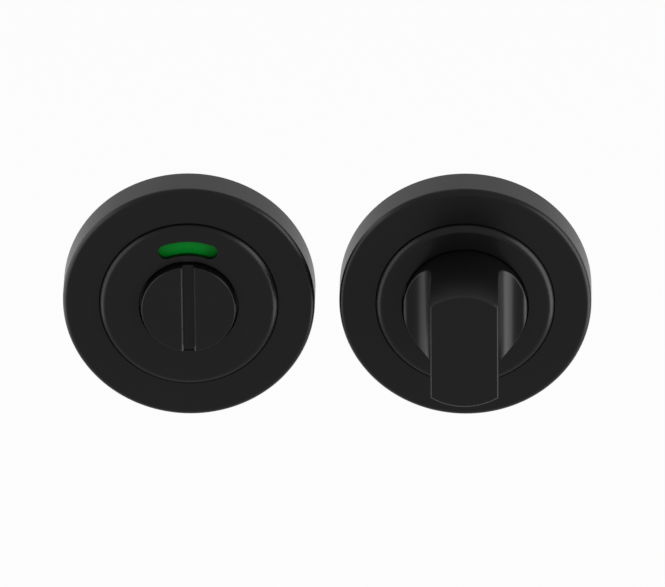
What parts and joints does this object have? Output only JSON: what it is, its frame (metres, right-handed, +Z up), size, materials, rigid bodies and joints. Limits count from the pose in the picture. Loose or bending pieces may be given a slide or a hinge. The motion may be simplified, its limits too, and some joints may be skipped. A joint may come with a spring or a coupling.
{
  "type": "bathroom thumb turn and coin release lock set",
  "caption": "Round black rose with a scooped thumb turn on a square spindle, and a matching rose with a slotted coin release and a vacant or engaged indicator window.",
  "frame": {"origin": "where the thumb turn's axis meets the door face, in the middle of the back of its rose", "axes": "+Z up the door, -Y out from the door towards the hand, +X to the right seen from the front; the release stands at X = -57 mm"},
  "size_m": [0.109, 0.0682, 0.052],
  "materials": {
    "black_coat": "fine satin black powder coat",
    "nylon": "moulded glass-filled nylon, black",
    "acetal": "moulded natural acetal",
    "spring_steel": "oiled spring steel",
    "plated_steel": "bright zinc-plated drawn steel",
    "indicator_plastic": "moulded black plastic",
    "green_enamel": "satin green printed enamel",
    "red_enamel": "satin red printed enamel"
  },
  "bodies": {
    "roses": {"turn_cover": "black_coat", "turn_centre_plate": "black_coat", "turn_base_plate": "nylon", "turn_bearing_bush": "acetal", "turn_cone_spring": "spring_steel", "turn_snap_ring": "spring_steel", "release_cover": "black_coat", "release_centre_plate": "black_coat", "release_base_plate": "nylon", "release_bearing_bush": "acetal", "release_cone_spring": "spring_steel", "release_snap_ring": "spring_steel"},
    "turn": {"thumb_turn": "black_coat", "turn_spindle": "plated_steel", "spindle_pin": "spring_steel", "turn_stop_washer": "plated_steel", "turn_retaining_ring": "spring_steel"},
    "release": {"coin_release": "black_coat", "indicator_disc": "indicator_plastic", "green_field": "green_enamel", "red_field": "red_enamel", "release_stop_washer": "plated_steel", "release_retaining_ring": "spring_steel"}
  },
  "joints": [
    {"name": "thumb_turn_spin", "type": "hinge", "parent": "roses", "child": "turn", "pos_m": [0, 0, 0], "axis": [0, 1, 0], "range_deg": [0, 90]},
    {"name": "coin_release_spin", "type": "hinge", "parent": "roses", "child": "release", "pos_m": [-0.057, 0, 0], "axis": [0, -1, 0], "range_deg": [0, 90]}
  ]
}
